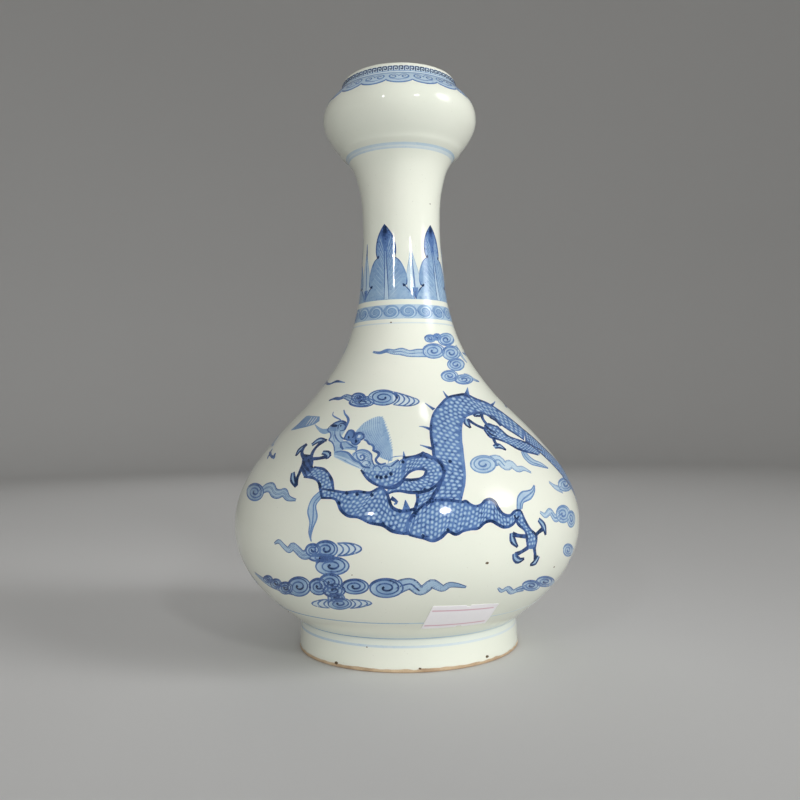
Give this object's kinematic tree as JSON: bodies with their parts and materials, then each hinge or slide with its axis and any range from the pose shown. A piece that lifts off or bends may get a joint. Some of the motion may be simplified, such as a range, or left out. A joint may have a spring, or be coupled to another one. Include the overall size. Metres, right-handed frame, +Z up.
{
  "type": "garlic head vase",
  "caption": "Pear-shaped bottle vase on a foot ring, with a long neck and a garlic-bulb head with an upright lip, in blue-and-white glazed porcelain.",
  "frame": {"origin": "centre of the foot on the plane that it stands on", "axes": "+Z up along the turning axis; the painted front faces -Y and +X is to its right"},
  "size_m": [0.1482, 0.1482, 0.245],
  "materials": {
    "white_glaze": "clear glossy glaze with a faint green-blue cast over white porcelain",
    "cobalt_blue": "cobalt painting under the glossy glaze, from pale washes to dark lines",
    "bare_porcelain": "unglazed fired clay, matt, stained brown where it is bare",
    "slip": "fired slip, matt",
    "label_paper": "smooth white sticker paper with ruled lines"
  },
  "bodies": {
    "root": {"foot_ring": "bare_porcelain", "foot_slip": "slip", "lower_belly": "bare_porcelain", "belly_slip": "slip", "upper_belly": "bare_porcelain", "shoulder_slip": "slip", "neck": "bare_porcelain", "head_slip": "slip", "garlic_head": "bare_porcelain", "outer_glaze": "white_glaze", "inner_glaze": "white_glaze", "base_glaze": "white_glaze", "paper_label": "label_paper"}
  },
  "joints": []
}
